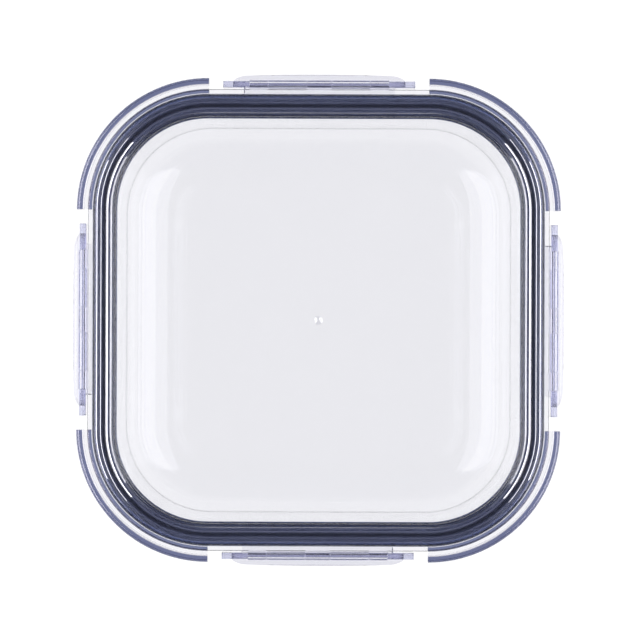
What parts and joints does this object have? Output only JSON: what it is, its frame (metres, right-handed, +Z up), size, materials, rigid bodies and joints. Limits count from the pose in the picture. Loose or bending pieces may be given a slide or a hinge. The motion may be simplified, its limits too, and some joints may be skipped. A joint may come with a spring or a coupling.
{
  "type": "lidded glass food container",
  "caption": "Low square glass food container with a clear lid, a dark seal under its raised rim, corner flanges and a hinged snap clip on each side.",
  "frame": {"origin": "middle of the footprint, on the table, under the foot ring", "axes": "+Z up through the lid, X and Y square to the four sides"},
  "size_m": [0.1652, 0.1652, 0.068],
  "materials": {
    "glass": "clear pressed glass",
    "lid_plastic": "clear moulded plastic with a faint smoky blue tint",
    "seal_rubber": "satin dark slate-blue elastomer",
    "clip_plastic": "clear moulded plastic with a pale lavender tint",
    "pin_plastic": "clear plastic rod"
  },
  "bodies": {
    "base": {"glass_base": "glass"},
    "lid": {"lid_shell": "lid_plastic", "seal_ring": "seal_rubber", "hinge_pin_front": "pin_plastic", "hinge_pin_back": "pin_plastic", "hinge_pin_left": "pin_plastic", "hinge_pin_right": "pin_plastic"},
    "clip_front": {"clip_front": "clip_plastic"},
    "clip_back": {"clip_back": "clip_plastic"},
    "clip_left": {"clip_left": "clip_plastic"},
    "clip_right": {"clip_right": "clip_plastic"}
  },
  "joints": [
    {"name": "lid_lift", "type": "slide", "parent": "base", "child": "lid", "axis": [0, 0, 1], "range_m": [0, 0.06]},
    {"name": "clip_front_hinge", "type": "hinge", "parent": "lid", "child": "clip_front", "pos_m": [0, -0.0779, 0.0632], "axis": [-1, 0, 0], "range_deg": [0, 120]},
    {"name": "clip_back_hinge", "type": "hinge", "parent": "lid", "child": "clip_back", "pos_m": [0, 0.0779, 0.0632], "axis": [1, 0, 0], "range_deg": [0, 120]},
    {"name": "clip_left_hinge", "type": "hinge", "parent": "lid", "child": "clip_left", "pos_m": [-0.0779, 0, 0.0632], "axis": [0, 1, 0], "range_deg": [0, 120]},
    {"name": "clip_right_hinge", "type": "hinge", "parent": "lid", "child": "clip_right", "pos_m": [0.0779, 0, 0.0632], "axis": [0, -1, 0], "range_deg": [0, 120]}
  ]
}
